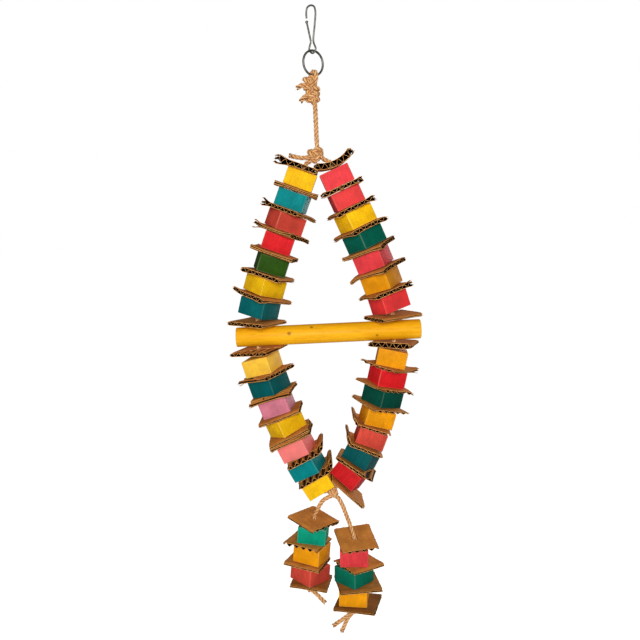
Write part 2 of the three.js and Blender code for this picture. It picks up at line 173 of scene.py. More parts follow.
# Shader sums: a socket that can be added, multiplied and so on
class Wire:
    def __init__(self, nodes, socket):
        self.nodes = nodes
        self.socket = socket

    def math(self, operation, other=0.0, flipped=False):
        pair = (other, self) if flipped else (self, other)
        return self.nodes.add("ShaderNodeMath", {"operation": operation}, {0: pair[0], 1: pair[1]})

    def __add__(self, other):
        return self.math("ADD", other)

    def __sub__(self, other):
        return self.math("SUBTRACT", other)

    def __rsub__(self, other):
        return self.math("SUBTRACT", other, True)

    def __mul__(self, other):
        return self.math("MULTIPLY", other)

    __radd__ = __add__
    __rmul__ = __mul__

    def over(self, base, share):
        return base + self * share


class Nodes:
    def __init__(self, tree):
        self.tree = tree

    def add(self, kind, settings, sockets, output=0):
        node = self.tree.nodes.new(kind)
        for key, value in settings.items():
            if key != "stops":
                setattr(node, key, value)
                continue
            for stop, (position, colour) in zip(list(node.color_ramp.elements), value):
                stop.position, stop.color = position, colour
        for key, value in sockets.items():
            self.link(value, node.inputs[key])
        return Wire(self, node.outputs[output])

    def link(self, value, socket):
        if isinstance(value, Wire):
            self.tree.links.new(value.socket, socket)
        else:
            socket.default_value = value

    # The camera sees one shader and all other rays meet the other
    def splitRays(self, hidden, seen, output):
        isSeen = self.add("ShaderNodeLightPath", {}, {}, "Is Camera Ray")
        split = self.add("ShaderNodeMixShader", {}, {0: isSeen, 1: hidden, 2: seen})
        self.link(split, self.tree.nodes.new(output).inputs["Surface"])


class Finish(Nodes):
    def __init__(self, name, **constants):
        self.material = bpy.data.materials.new(name)
        self.material.use_nodes = True
        super().__init__(self.material.node_tree)
        self.shader = self.tree.nodes["Principled BSDF"]
        for socket, value in constants.items():
            self.shader.inputs[socket.replace("_", " ")].default_value = value

    def attribute(self, name, output="Vector"):
        return self.add("ShaderNodeAttribute", {"attribute_name": name}, {}, output)

    def axis(self, place, index):
        return self.add("ShaderNodeSeparateXYZ", {}, {0: place}, index)

    def noise(self, place, scale, seed=0.0, detail=2.0, roughness=0.5):
        sockets = {"Vector": place, "W": seed, "Scale": scale, "Detail": detail, "Roughness": roughness}
        return self.add("ShaderNodeTexNoise", {"noise_dimensions": "4D"}, sockets)

    def grain(self, place, scales, seed=0.0, detail=2.0, roughness=0.5):
        stretched = self.add("ShaderNodeVectorMath", {"operation": "MULTIPLY"}, {0: place, 1: scales})
        return self.noise(stretched, 1.0, seed, detail, roughness)

    def ramp(self, value, low, high):
        return self.add("ShaderNodeValToRGB", {"stops": [(low, black), (high, white)]}, {0: value})

    def mix(self, factor, first, second, blend="MIX"):
        settings = {"data_type": "RGBA", "blend_type": blend}
        return self.add("ShaderNodeMix", settings, {0: factor, 6: first, 7: second}, 2)

    def finish(self, colour, roughness, height=None, depth=0.1):
        self.link(colour, self.shader.inputs["Base Color"])
        self.link(roughness, self.shader.inputs["Roughness"])
        if height:
            sockets = {"Strength": 1.0, "Distance": depth * mm, "Height": height}
            self.link(self.add("ShaderNodeBump", {}, sockets), self.shader.inputs["Normal"])
        return self.material


def paint(red, green, blue):
    parts = [c / 255 for c in (red, green, blue)]
    return tuple(c / 12.92 if c <= 0.04045 else ((c + 0.055) / 1.055) ** 2.4 for c in parts) + (1,)


def shaded(colour, factor):
    return tuple(min(1, c * factor) for c in colour[:3]) + (1,)


# Stage: a pale floor far below, white behind, a key from the front, a weaker fill and a lamp behind
stage = {
    "floor": -1.1, "floorSize": 40, "floorGlow": 0.97, "floorMatt": 0.3, "floorPlain": 0.8,
    "ambient": 0.14, "aim": (0, 0, -0.33),
}
lamps = {
    "key_lamp": {"place": (0.02, -1.4, 0.02), "size": 0.4, "power": 18.2},
    "fill_lamp": {"place": (-0.9, -1.0, -0.2), "size": 0.8, "power": 4},
    "back_lamp": {"place": (0.8, 1.2, -0.25), "size": 1.0, "power": 15},
}


world = bpy.data.worlds.new("studio")
bpy.context.scene.world = world
world.use_nodes = True
sky = Nodes(world.node_tree)
sky.tree.nodes.clear()
skyLight = sky.add("ShaderNodeBackground", {}, {"Color": white, "Strength": stage["ambient"]})
skyWhite = sky.add("ShaderNodeBackground", {}, {"Color": white})
sky.splitRays(skyLight, skyWhite, "ShaderNodeOutputWorld")

for name, spec in lamps.items():
    lampData = bpy.data.lights.new(name, "AREA")
    lampData.size, lampData.energy = spec["size"], spec["power"]
    lamp = newObject(name, lampData)
    lamp.location = spec["place"]
    lamp.rotation_euler = (Vector(stage["aim"]) - lamp.location).to_track_quat("-Z", "Y").to_euler()

selectOnly()
bpy.ops.mesh.primitive_plane_add(size=stage["floorSize"], location=(0, 0, stage["floor"]))
floor = bpy.context.object
floor.name = "floor"
floorPaint = Finish("pale_floor")
floorPaint.tree.nodes.clear()
plain = floorPaint.add("ShaderNodeBsdfDiffuse", {}, {"Color": shaded(white, stage["floorPlain"])})
matt = floorPaint.add("ShaderNodeBsdfDiffuse", {}, {"Color": shaded(white, stage["floorMatt"])})
glow = floorPaint.add("ShaderNodeEmission", {}, {"Strength": stage["floorGlow"]})
seenFloor = floorPaint.add("ShaderNodeAddShader", {}, {0: glow, 1: matt})
floorPaint.splitRays(plain, seenFloor, "ShaderNodeOutputMaterial")
floor.data.materials.append(floorPaint.material)
print("stage ready")

# Beads in their order down each strand, as in the part. A block has its colour, its turn about the cord
# in degrees, a tone that scales the dye, partly its own tone and partly painted light and shade, and a
# fade that pales it. A card has its turn and its own shape, and a tone of painted shade that darkens it.
# A shift moves it to the right, a tilt sets its lean, and curl, fold and nod bend or tip it. A puff lifts
# the top liner all over. A split opens the liners, a droop bends the card down and a gape lifts the top
# liner, each towards a direction in degrees and by an amount in millimetres. A rip tears off the top
# liner and a bare the foot liner, past a distance from the cord in a direction. An own card is a node of
# its own in the part, and the others belong to their strand's cord.
bead = {
    "blockThickness": 17.6, "blockSide": 30, "bore": 7, "cardSide": 45, "tasselSide": 40, "flutePitch": 7.5,
    "cardThickness": 3.6, "crushed": 2.6, "seatGap": 0.3, "cord": 4.4, "perchTilt": 4,
}


def block(colour, turn, tone=1.0, fade=0.0):
    made = {"isCard": False, "colour": colour, "turn": turn, "tone": tone, "fade": fade, "nod": 0}
    made["half"] = bead["blockThickness"] / 2
    return made


def card(turn, **shape):
    made = {"isCard": True, "turn": turn, "side": bead["cardSide"], "thickness": bead["cardThickness"]}
    made.update({"shift": 0, "nod": 0, "tone": 1.0, **shape})
    made["half"] = made["thickness"] / 2
    return made


def plainCard(turn, **shape):
    return card(turn + 90, **shape)


flat, small, level = bead["crushed"], bead["tasselSide"], bead["perchTilt"]
strands = {
    "upper_left": [
        card(0, own=True, shift=-8, puff=1.2, split=(180, 1.6)), block("yellow", 0),
        plainCard(0), block("teal", -8),
        card(-25, split=(178, 2.2)), block("coral", 26),
        plainCard(-26, split=(182, 2.4)), block("red", 0, 0.85),
        plainCard(-7), block("green", 10),
        card(-18), block("yellow", 42, 0.88),
        card(-40, droop=(185, -1.5)), block("teal", -32, 0.48),
        card(-30, own=True, tilt=level),
    ],
    "upper_right": [
        card(0, own=True, shift=4, curl=40, tilt=16, lift=1, puff=2.4, split=(0, 1.0)), block("pink", 0),
        card(0, split=(0, 2.4)), block("red", 7, fade=0.05),
        card(12, droop=(10, 2.5), split=(5, 1.6)), block("yellow", 25, 1.1),
        card(25, droop=(180, 1.6)), block("sea", 36),
        plainCard(-25), block("pink", -25, 0.88),
        plainCard(-40, droop=(185, 1.2)), block("amber", -32, 0.82),
        card(20, droop=(190, 2.0), split=(10, 1.4)), block("red", 26, fade=0.03),
        plainCard(24, own=True, tilt=level),
    ],
    "lower_left": [
        card(-25, tilt=level, rip=(-90, 9)), block("yellow", -23, fade=0.06),
        plainCard(-45, split=(180, 2.0), rip=(190, 13)), block("teal", -36, 0.42),
        plainCard(-10, rip=(-95, 12)), block("mauve", -10),
        plainCard(-3), block("yellow", 34),
        plainCard(0), plainCard(-3, split=(180, 1.2)), block("pink", -15, fade=0.2),
        card(0, fold=37, shift=6, rip=(-90, 13)), block("teal", -17),
        card(0, fold=45, shift=6, rip=(-90, 12)), block("yellow", 0),
    ],
    "lower_right": [
        card(-18, thickness=flat, tilt=level, tone=0.8, gape=(-100, 2.6)), block("amber", -3),
        card(-40, thickness=flat, split=(0, 1.6), bare=(-130, 9)), block("red", 18),
        card(35, thickness=flat, droop=(0, 1.4), bare=(-55, 9)), block("sea", 40, 0.6),
        card(30, thickness=flat, bare=(-60, 9)), block("amber", 9),
        card(0, thickness=flat, fold=-50, shift=-6, bare=(-80, 10)), block("coral", 0),
        card(0, thickness=flat, fold=-55, shift=-6), block("teal", -26, 0.35),
        card(-10, thickness=flat, split=(0, 2.4), rip=(-20, 15)), block("red", -22, 0.8),
        plainCard(0, thickness=flat, shift=7),
    ],
    "left_tassel": [
        card(42, side=small, shift=-1, nod=7, bare=(-90, 9)), block("jade", -8),
        card(-24, side=small, shift=-5.5, droop=(-60, 1.6), bare=(-115, 10)), block("amber", -25),
        plainCard(-20, side=small, shift=-4, tone=0.85), block("coral", 45),
        plainCard(-10, side=small, shift=2, tone=0.55),
    ],
    "right_tassel": [
        card(11, side=small, shift=2.5, nod=16, bare=(-80, 10)), block("pink", -2, 0.84),
        plainCard(32, side=small, shift=5, bare=(-145, 11)), block("jade", 45, 0.55),
        plainCard(8, shift=4, tone=0.65), block("amber", -8),
        plainCard(-15, shift=4, tone=0.38),
    ],
}

# Heights and reaches of the part, in millimetres, and leans in degrees
hang = {
    "clipHeight": 43, "clipWire": 1.8, "clipWidth": 12, "neckHeight": 33, "neckReach": 1.45, "clipTurn": -30,
    "eyeWidth": 9, "gateHeight": 21, "gateTip": 3, "gateClearance": 0.5, "ring": 26, "ringWire": 2.2,
    "ringTurn": 37, "loopClearance": 0.6, "hanger": 43, "twistInset": 3, "knotPitch": 4.8, "ringTurns": 3.4,
    "apexTurns": 1.6, "bottomTurns": 1.2, "tasselTurns": 1.3, "knotOverlap": 1,
}
spread = {
    "firstReach": 18.2, "firstDrop": 17.6, "upperLean": (22.5, 13.5, 3), "upperSlack": 0.2,
    "lowerLeft": (14, 1.2, 11), "lowerRight": (14, 3), "steepest": 80.0, "near": 1e-6,
    "strandClearance": 4.5, "knotRise": 1.6, "leftTassel": (21, 22, 7), "rightTassel": (20, 46, 2),
    "tasselSlack": 0.3, "tasselKnotRise": 0.5, "nodReach": 16.5,
}
cordRadius = bead["cord"] / 2
sweep = bead["blockSide"] * math.sqrt(0.5)


def downAlong(lean):
    return np.array([math.sin(math.radians(lean)), 0, -math.cos(math.radians(lean))])


# Seats each bead under the last, with room for it to turn, and gives the end of the last one
def threadBeads(start, beads, leanAt, side, slack=0.0):
    point, last = np.array(start, float), None
    for index, one in enumerate(beads):
        follows = one["isCard"] and last is not None and last["isCard"]
        lean = last["lean"] if follows else leanAt(index, len(beads))
        if "tilt" in one:
            lean = one["tilt"] * side
        if last is not None:
            turn, nod = math.radians(abs(lean - last["lean"])), math.radians(last["nod"])
            gap = bead["seatGap"] + slack + spread["nodReach"] * math.tan(nod) + sweep * math.tan(turn)
            point += downAlong(last["lean"]) * last["half"]
            point += downAlong((lean + last["lean"]) / 2) * gap
            point += downAlong(lean) * one["half"]
        one["lean"], one["place"] = lean, point.copy()
        last = one
    return point + downAlong(last["lean"]) * last["half"]


# The lean of a strand at each bead, from its first to its last
def leanFrom(start, end, power):
    return lambda index, count: start + (end - start) * (index / (count - 1)) ** power


def knotHeight(turns):
    return hang["knotPitch"] * turns + bead["cord"]


ringTop = hang["loopClearance"] + hang["ringWire"] / 2 - hang["clipHeight"]
ringReach = (hang["ring"] - hang["ringWire"]) / 2
ringFoot = ringTop - 2 * ringReach
loopReach = hang["ringWire"] / 2 + hang["loopClearance"] + cordRadius
ringKnotTop = ringFoot - loopReach - cordRadius
apexKnotTop = ringKnotTop - knotHeight(hang["ringTurns"]) - hang["hanger"]
apex = apexKnotTop - knotHeight(hang["apexTurns"])

edgeDrop = bead["cardSide"] * math.sqrt(0.5) * math.sin(math.radians(bead["perchTilt"]))
perchTop, holeReach = 0.0, 0.0
for name, side in (("upper_left", -1), ("upper_right", 1)):
    topCard, *others = strands[name]
    start, end, power = spread["upperLean"]
    lean = leanFrom(side * start, side * end, power)
    first = (side * spread["firstReach"], 0, apex - spread["firstDrop"])
    foot = threadBeads(first, others, lean, side, spread["upperSlack"])
    rise = others[0]["half"] + bead["seatGap"] + topCard.get("lift", 0) + topCard["half"]
    topCard["place"] = others[0]["place"] - downAlong(others[0]["lean"]) * rise
    topCard["lean"] = side * topCard.get("tilt", start)
    perchTop = min(perchTop, foot[2] - bead["seatGap"] - edgeDrop)
    holeReach = max(holeReach, abs(foot[0]))

perch = {
    "radius": 10, "leftOverhang": 22, "rightOverhang": 28, "bore": 6, "chamfer": 1.2, "chamferCuts": 4,
    "sides": 64, "boreSides": 28, "smooth": 40,
}
perchMiddle = perchTop - perch["radius"]
perchFoot = perchMiddle - perch["radius"]


# The lean at the strand's foot is searched for until the last bead ends at the wanted reach
def closeStrand(beads, side, start, power, endReach):
    first = (side * holeReach, 0, perchFoot - bead["seatGap"] - edgeDrop - beads[0]["half"])
    low, high = 0.0, spread["steepest"]
    while high - low > spread["near"]:
        middle = (low + high) / 2
        end = threadBeads(first, beads, leanFrom(-side * start, -side * middle, power), -side)
        low, high = (middle, high) if end[0] * side > endReach else (low, middle)
    return threadBeads(first, beads, leanFrom(-side * start, -side * low, power), -side)


leftEnd = closeStrand(strands["lower_left"], -1, *spread["lowerLeft"])
lastLean = strands["lower_left"][-1]["lean"]
lastCorner = leftEnd[0] + bead["blockSide"] / 2 * math.cos(math.radians(lastLean))
rightReach = lastCorner + cordRadius + spread["strandClearance"]
rightEnd = closeStrand(strands["lower_right"], 1, *spread["lowerRight"], rightReach)
bottomKnotTop = leftEnd[2] + spread["knotRise"]
bottomKnotFoot = bottomKnotTop - knotHeight(hang["bottomTurns"])
tasselPivot = bottomKnotFoot - bead["seatGap"] - cordRadius
tasselKnots = {}
for name, side, spec in (("left_tassel", -1, "leftTassel"), ("right_tassel", 1, "rightTassel")):
    reach, drop, lean = spread[spec]
    first = (side * reach, 0, tasselPivot - drop)
    knot = threadBeads(first, strands[name], leanFrom(-lean, -lean, 1), 1, spread["tasselSlack"])
    knot[2] += spread["tasselKnotRise"]
    tasselKnots[name] = knot


def seatOf(one):
    seat = Matrix.Translation(Vector(one["place"]) * mm)
    return seat @ turned(one["nod"], "X") @ turned(-one["lean"], "Y") @ turned(one["turn"], "Z")


print("beads laid out, perch at", round(perchMiddle, 2), "bottom knot at", round(bottomKnotTop, 2))

# Finishes: beside each a dictionary with its colours, the scale of each noise, the band of it that shows
# and the share that it takes
halfSides = (bead["blockSide"] / 2, bead["blockSide"] / 2, bead["blockThickness"] / 2)
dyes = {
    "yellow": paint(255, 195, 16), "amber": paint(242, 158, 10), "teal": paint(0, 134, 136),
    "sea": paint(1, 98, 79), "green": paint(42, 80, 10), "jade": paint(2, 152, 120),
    "red": paint(230, 33, 39), "coral": paint(212, 74, 58), "pink": paint(240, 68, 74),
    "mauve": paint(208, 122, 140),
}
woodLook = {
    "streaks": (620, 620, 48), "streakBand": (0.36, 0.7), "pores": (1700, 1700, 150), "poreBand": (0.3, 0.42),
    "clouds": 95.0, "cloudBand": (0.3, 0.72), "cloudShades": (0.74, 1.12), "blots": 48.0, "blotSeed": 7,
    "blotBand": (0.48, 0.68), "deepShares": (0.5, 0.4, 0.35), "deepShades": (0.6, 0.62, 0.4),
    "worn": (0.05, 1.0), "wornWander": 1.6, "wornShare": 0.45, "rawWood": (0.8, 0.62, 0.42),
    "rawShare": 0.28, "faded": paint(255, 222, 206), "rises": (0.6, 0.5, 0.3), "relief": 0.16,
    "matt": (0.52, 0.22), "sheen": 0.08,
}


def dyedWood(name, colour):
    wood = Finish("dyed_" + name, Specular_IOR_Level=woodLook["sheen"])
    place, seed = wood.attribute("woodPlace"), wood.attribute("woodSeed", "Fac")
    streaks = wood.grain(place, woodLook["streaks"], seed, detail=4.0, roughness=0.6)
    pores = wood.ramp(wood.grain(place, woodLook["pores"], seed), *woodLook["poreBand"])
    clouds = wood.noise(place, woodLook["clouds"], seed, detail=3.0, roughness=0.6)
    blots = wood.noise(place, woodLook["blots"], seed + woodLook["blotSeed"])  # where dye soaked in deeper
    gaps = [half * mm - wood.axis(place, k).math("ABSOLUTE") for k, half in enumerate(halfSides)]
    low = gaps[0].math("MINIMUM", gaps[1])
    high = gaps[0].math("MAXIMUM", gaps[1]).math("MINIMUM", gaps[2])
    toEdge = low.math("MAXIMUM", high) * (1 / mm) + (clouds - 0.5) * woodLook["wornWander"]
    worn = 1 - wood.ramp(toEdge, *woodLook["worn"])
    dim, bright = (shaded(colour, shade) for shade in woodLook["cloudShades"])
    body = wood.mix(wood.ramp(clouds, *woodLook["cloudBand"]), dim, bright)
    soaked, lined = wood.ramp(blots, *woodLook["blotBand"]), wood.ramp(streaks, *woodLook["streakBand"])
    deeper = zip((soaked, lined, 1 - pores), woodLook["deepShares"], woodLook["deepShades"])
    for mask, amount, shade in deeper:
        body = wood.mix(mask * amount, body, shaded(colour, shade))
    share = woodLook["rawShare"]
    pale = tuple((1 - share) * c + share * d for c, d in zip(colour[:3], woodLook["rawWood"])) + (1,)
    body = wood.mix(worn * woodLook["wornShare"], body, pale)
    body = wood.mix(wood.attribute("woodFade", "Fac"), body, woodLook["faded"])
    # the tone scales the colour: partly the dye's own tone, partly painted light and shade
    body = wood.mix(1.0, body, wood.attribute("woodTone", "Fac"), "MULTIPLY")
    streakRise, poreRise, wornDrop = woodLook["rises"]
    height = streaks * streakRise + pores * poreRise - worn * wornDrop
    return wood.finish(body, streaks.over(*woodLook["matt"]), height, woodLook["relief"])


paper = {
    "liner": paint(212, 136, 58), "dark": paint(168, 102, 40), "light": paint(234, 166, 88),
    "cut": paint(240, 188, 122), "shadeInValley": paint(30, 17, 7), "fluteShadeDark": paint(34, 20, 9),
    "fluteShadeLight": paint(66, 40, 18), "fibres": (1500, 260, 900), "fibreBand": (0.45, 0.75),
    "fibreShare": 0.45, "flecks": (900, 300, 900), "fleckBand": (0.62, 0.7), "fleckShare": 0.35,
    "stains": 60.0, "stainBand": (0.32, 0.7), "ribShadeShare": 0.16, "rises": (0.8, 0.4), "relief": 0.12,
    "matt": (0.82, 0.12), "sheen": 0.12, "span": 4,  # height that the levels in a card run over
    "shadeInValleyTop": (0.42, 0.75), "shadeInValleyFoot": (0.14, 0.2), "crestBand": (0.3, 0.75),
    "cutFibres": (900, 900, 2600), "cutFibreBand": (0.35, 0.7), "cutStains": 120.0,
    "cutStainBand": (0.55, 0.75), "cutStainShare": 0.5, "cutRelief": 0.1, "cutMatt": 0.95, "cutSheen": 0.08,
}


def levelIn(finish, place):
    return finish.axis(place, 2) * (1 / (paper["span"] * mm)) + 0.5


def kraftPaper():
    kraft = Finish("kraft_liner", Specular_IOR_Level=paper["sheen"])
    place, seed = kraft.attribute("cardPlace"), kraft.attribute("cardSeed", "Fac")
    fibres = kraft.grain(place, paper["fibres"], seed, detail=3.0, roughness=0.6)
    flecks = kraft.ramp(kraft.grain(place, paper["flecks"], seed, detail=1.0), *paper["fleckBand"])
    stains = kraft.noise(place, paper["stains"], seed, detail=3.0, roughness=0.55)
    # painted shade: faint darker stripes over the flutes, for the liner's washboard ripple
    ribs = kraft.axis(place, 0) * (2 * math.pi / (bead["flutePitch"] * mm))
    ribs = ribs.math("COSINE") * 0.5 + 0.5
    level = levelIn(kraft, place)
    shadeInValley = 1 - kraft.ramp(level, *paper["shadeInValleyTop"])
    shadeInValley = shadeInValley * kraft.ramp(level, *paper["shadeInValleyFoot"])  # painted shade in the valleys between bared ribs
    body = kraft.mix(kraft.ramp(stains, *paper["stainBand"]), paper["dark"], paper["liner"])
    body = kraft.mix(kraft.ramp(fibres, *paper["fibreBand"]) * paper["fibreShare"], body, paper["light"])
    body = kraft.mix(ribs * paper["ribShadeShare"], body, paper["dark"])
    body = kraft.mix(flecks * paper["fleckShare"], body, paper["dark"])
    body = kraft.mix(shadeInValley, body, paper["shadeInValley"])
    # the tone darkens the card: painted shade
    body = kraft.mix(1.0, body, kraft.attribute("cardTone", "Fac"), "MULTIPLY")
    fibreRise, stainRise = paper["rises"]
    height = fibres * fibreRise + stains * stainRise
    return kraft.finish(body, fibres.over(*paper["matt"]), height, paper["relief"])


def cutPaper():
    cut = Finish("cut_paper_edge", Specular_IOR_Level=paper["cutSheen"])
    place, seed = cut.attribute("cardPlace"), cut.attribute("cardSeed", "Fac")
    fibres = cut.grain(place, paper["cutFibres"], seed, detail=3.0, roughness=0.6)
    stains = cut.ramp(cut.noise(place, paper["cutStains"], seed), *paper["cutStainBand"])
    body = cut.mix(cut.ramp(fibres, *paper["cutFibreBand"]), paper["liner"], paper["cut"])
    body = cut.mix(stains * paper["cutStainShare"], body, paper["dark"])
    return cut.finish(body, paper["cutMatt"], fibres, paper["cutRelief"])


def shadedFlutePaper(name, isBared):
    inside = Finish(name, Specular_IOR_Level=0.0)
    place, seed = inside.attribute("cardPlace"), inside.attribute("cardSeed", "Fac")
    fibres = inside.grain(place, paper["flecks"], seed)
    # painted shade: the paper inside the flutes is dark brown for the shade in them
    body = inside.mix(fibres, paper["fluteShadeDark"], paper["fluteShadeLight"])
    if isBared:  # the ribs show from below where the foot liner is torn off, with painted shade between them
        crest = 1 - inside.ramp(levelIn(inside, place), *paper["crestBand"])
        ribs = inside.mix(fibres, paper["dark"], paper["liner"])
        body = inside.mix(inside.attribute("cardOpen", "Fac") * crest, body, ribs)
    return inside.finish(body, paper["cutMatt"])


sisalLook = {
    "tan": paint(186, 122, 66), "straw": paint(246, 194, 132), "tuft": paint(255, 226, 180),
    "shadeInGroove": paint(136, 80, 36), "fibres": (90, 1900, 1), "fibreBand": (0.3, 0.7), "tufts": (230, 420, 1),
    "tuftBand": (0.5, 0.75), "tuftShare": 0.5, "shadeInGrooveBand": (0.45, 0.8), "relief": 0.25,
    "matt": (0.8, 0.15), "sheen": 0.15,
}


def twistedSisal():
    sisal = Finish("twisted_sisal", Specular_IOR_Level=sisalLook["sheen"])
    place = sisal.attribute("cordPlace")
    fibres = sisal.grain(place, sisalLook["fibres"], detail=4.0, roughness=0.65)
    tufts = sisal.ramp(sisal.grain(place, sisalLook["tufts"], seed=3.0), *sisalLook["tuftBand"])
    # painted shade: darker where the strands face into the rope, in the grooves between them
    shadeInGroove = sisal.ramp(sisal.axis(place, 2), *sisalLook["shadeInGrooveBand"])
    body = sisal.mix(sisal.ramp(fibres, *sisalLook["fibreBand"]), sisalLook["tan"], sisalLook["straw"])
    body = sisal.mix(tufts * sisalLook["tuftShare"], body, sisalLook["tuft"])
    body = sisal.mix(shadeInGroove, sisalLook["shadeInGroove"], body)
    return sisal.finish(body, fibres.over(*sisalLook["matt"]), fibres, sisalLook["relief"])


# The marks are small dark knots, each with its place and size in millimetres
dowelLook = {
    "gold": paint(246, 178, 20), "deep": paint(206, 126, 12), "mark": paint(120, 70, 14),
    "streaks": (28, 520, 520), "streakBand": (0.45, 0.72), "streakShare": 0.5, "pores": (110, 2100, 2100),
    "poreBand": (0.3, 0.4), "poreShare": 0.3, "poreShade": 0.5, "clouds": (18, 60, 60),
    "cloudBand": (0.3, 0.7), "cloudShade": 0.86, "coatBand": (0.35, 0.7), "coat": 0.1, "coatMatt": 0.35,
    "marks": ((-37.0, -9.5, -318, 1.5), (-14.0, -6.5, -312.8, 1.3), (52.0, -9.6, -324, 1.0)),
    "markReach": 4, "markBand": (0.15, 0.45), "markShare": 0.7, "rise": 0.6, "relief": 0.14,
    "matt": (0.4, 0.2), "sheen": 0.08,
}


def dyedDowel():
    look = dowelLook
    dowel = Finish("dyed_dowel", Specular_IOR_Level=look["sheen"], Coat_Roughness=look["coatMatt"])
    place = dowel.add("ShaderNodeTexCoord", {}, {}, "Object")
    streaks = dowel.grain(place, look["streaks"], seed=2.0, detail=4.0, roughness=0.6)
    pores = dowel.ramp(dowel.grain(place, look["pores"], seed=5.0), *look["poreBand"])
    clouds = dowel.grain(place, look["clouds"], seed=1.0, detail=3.0)
    dim = shaded(look["gold"], look["cloudShade"])
    body = dowel.mix(dowel.ramp(clouds, *look["cloudBand"]), dim, look["gold"])
    body = dowel.mix(dowel.ramp(streaks, *look["streakBand"]) * look["streakShare"], body, look["deep"])
    body = dowel.mix((1 - pores) * look["poreShare"], body, shaded(look["deep"], look["poreShade"]))
    for *spot, size in look["marks"]:
        sockets = {0: place, 1: Vector(spot) * mm}
        distance = dowel.add("ShaderNodeVectorMath", {"operation": "DISTANCE"}, sockets, "Value")
        reach = dowel.ramp(distance * (1 / (look["markReach"] * mm * size)), *look["markBand"])
        body = dowel.mix((1 - reach) * look["markShare"], body, look["mark"])
    dowel.link(dowel.ramp(clouds, *look["coatBand"]) * look["coat"], dowel.shader.inputs["Coat Weight"])
    height = streaks * look["rise"] + pores * look["rise"]
    return dowel.finish(body, streaks.over(*look["matt"]), height, look["relief"])


steelLook = {
    "bright": paint(132, 130, 124), "grimy": paint(76, 73, 68), "grime": 260.0, "grimeBand": (0.4, 0.7),
    "scratches": (2400, 2400, 160), "relief": 0.01, "matt": (0.46, 0.14),
}


def wornSteel():
    steel = Finish("worn_steel", Metallic=1.0)
    place = steel.add("ShaderNodeTexCoord", {}, {}, "Object")
    grime = steel.noise(place, steelLook["grime"], seed=1.0, detail=4.0, roughness=0.6)
    scratches = steel.grain(place, steelLook["scratches"], seed=2.0)
    body = steel.mix(steel.ramp(grime, *steelLook["grimeBand"]), steelLook["bright"], steelLook["grimy"])
    return steel.finish(body, grime.over(*steelLook["matt"]), scratches, steelLook["relief"])


woods = {name: dyedWood(name, colour) for name, colour in dyes.items()}
kraftFinish, cutFinish = kraftPaper(), cutPaper()
shadedInsideFinish, baredShadeFinish = shadedFlutePaper("flute_shade_paper", False), shadedFlutePaper("bared_flute_shade_paper", True)
sisalFinish, steelFinish = twistedSisal(), wornSteel()
print("finishes ready")

# Dyed blocks: one sawn and drilled block, copied to every place
blockShape = {"edge": 0.7, "edgeCuts": 3, "boreSides": 28, "smooth": 35, "seed": 11, "grains": 90}
selectOnly()
bpy.ops.mesh.primitive_cube_add(size=1)
masterBlock = bpy.context.object
masterBlock.scale = (bead["blockSide"] * mm, bead["blockSide"] * mm, bead["blockThickness"] * mm)
bpy.ops.object.transform_apply(scale=True)
bpy.ops.object.mode_set(mode="EDIT")
bpy.ops.mesh.select_all(action="SELECT")
bpy.ops.mesh.bevel(offset=blockShape["edge"] * mm, segments=blockShape["edgeCuts"], affect="EDGES")
bpy.ops.object.mode_set(mode="OBJECT")
drillHole(masterBlock, bead["bore"], blockShape["boreSides"])
smoothBy(masterBlock, blockShape["smooth"])
rng = np.random.default_rng(blockShape["seed"])
for name, beads in strands.items():
    for number, one in enumerate([b for b in beads if not b["isCard"]], 1):
        piece = copyOf(masterBlock, f"{name}_dyed_block_{number}")
        setAttribute(piece.data, "woodPlace", coordsOf(piece.data))
        setAttribute(piece.data, "woodSeed", rng.uniform(0, blockShape["grains"]))
        setAttribute(piece.data, "woodTone", one["tone"])
        setAttribute(piece.data, "woodFade", one["fade"])
        piece.data.transform(seatOf(one))
        dress(piece, f"{name}_block_{number}", "dye_" + one["colour"], woods[one["colour"]])
bpy.data.objects.remove(masterBlock)
print("blocks in place")

# Corrugated cards: two liners, a wavy medium and crushed strips that shut the flutes. Each is a thin
# sheet. Its faces take finish 0 outside, 1 on cut edges, 2 inside the flutes and on the strips, dark brown
# for painted shade, and 3 on bared ribs below, with painted shade between the ribs.
cardShape = {
    "liner": 0.34, "medium": 0.24, "cuts": 30, "waves": (5, 6), "waveCuts": 12, "alongCuts": 10,
    "crease": 19.5, "bend": 1.3, "peel": (0.15, 1, 0.7), "calm": 0.35, "ragged": 0.6, "ripple": 0.09,
    "swell": 0.2, "hole": 5.2, "holeSnap": 0.8, "holeRim": 0.05, "near": 0.01, "flatness": 0.85,
    "strip": 7, "stripShare": 0.9, "endShare": 0.96, "endInset": 1.5, "pinch": 0.65,
    "pinchBand": (3.2, 0.4), "gapeBand": (10, 22), "cornerBand": (12, 30), "edgeBand": (14, 30),
    "blockMargin": (0.3, 9), "tearWave": (1.4, 1.7), "tearRough": 0.9, "bareBand": 1,
    "mediumShare": 0.3, "seedStep": 1.37, "seedSpan": 50, "smooth": 50,
}
strip = {"lift": 0, "face": 2, "back": 0, "rim": 0}
layers = {
    "top": {"lift": 1, "face": 0, "back": 2, "rim": 1},
    "medium": {"lift": 0, "face": 2, "back": 0, "rim": -1},
    "foot": {"lift": -1, "face": 2, "back": -2, "rim": -1},
    "strip": strip, "leftEnd": strip, "rightEnd": strip,
}
ends = {"leftEnd": -1, "rightEnd": 1}
rippedMedium = {"face": 0, "back": 2, "rim": 1}  # of a card whose top liner is ripped
baredMedium = {"face": 2, "back": 1, "rim": -1}  # of one whose foot liner is torn off


def sheetGrid(name, across, along):
    selectOnly()
    bpy.ops.mesh.primitive_grid_add(x_subdivisions=across, y_subdivisions=along, size=1)
    grid = bpy.context.object
    grid.name = name
    for finish in (kraftFinish, cutFinish, shadedInsideFinish, baredShadeFinish):
        grid.data.materials.append(finish)
    return grid


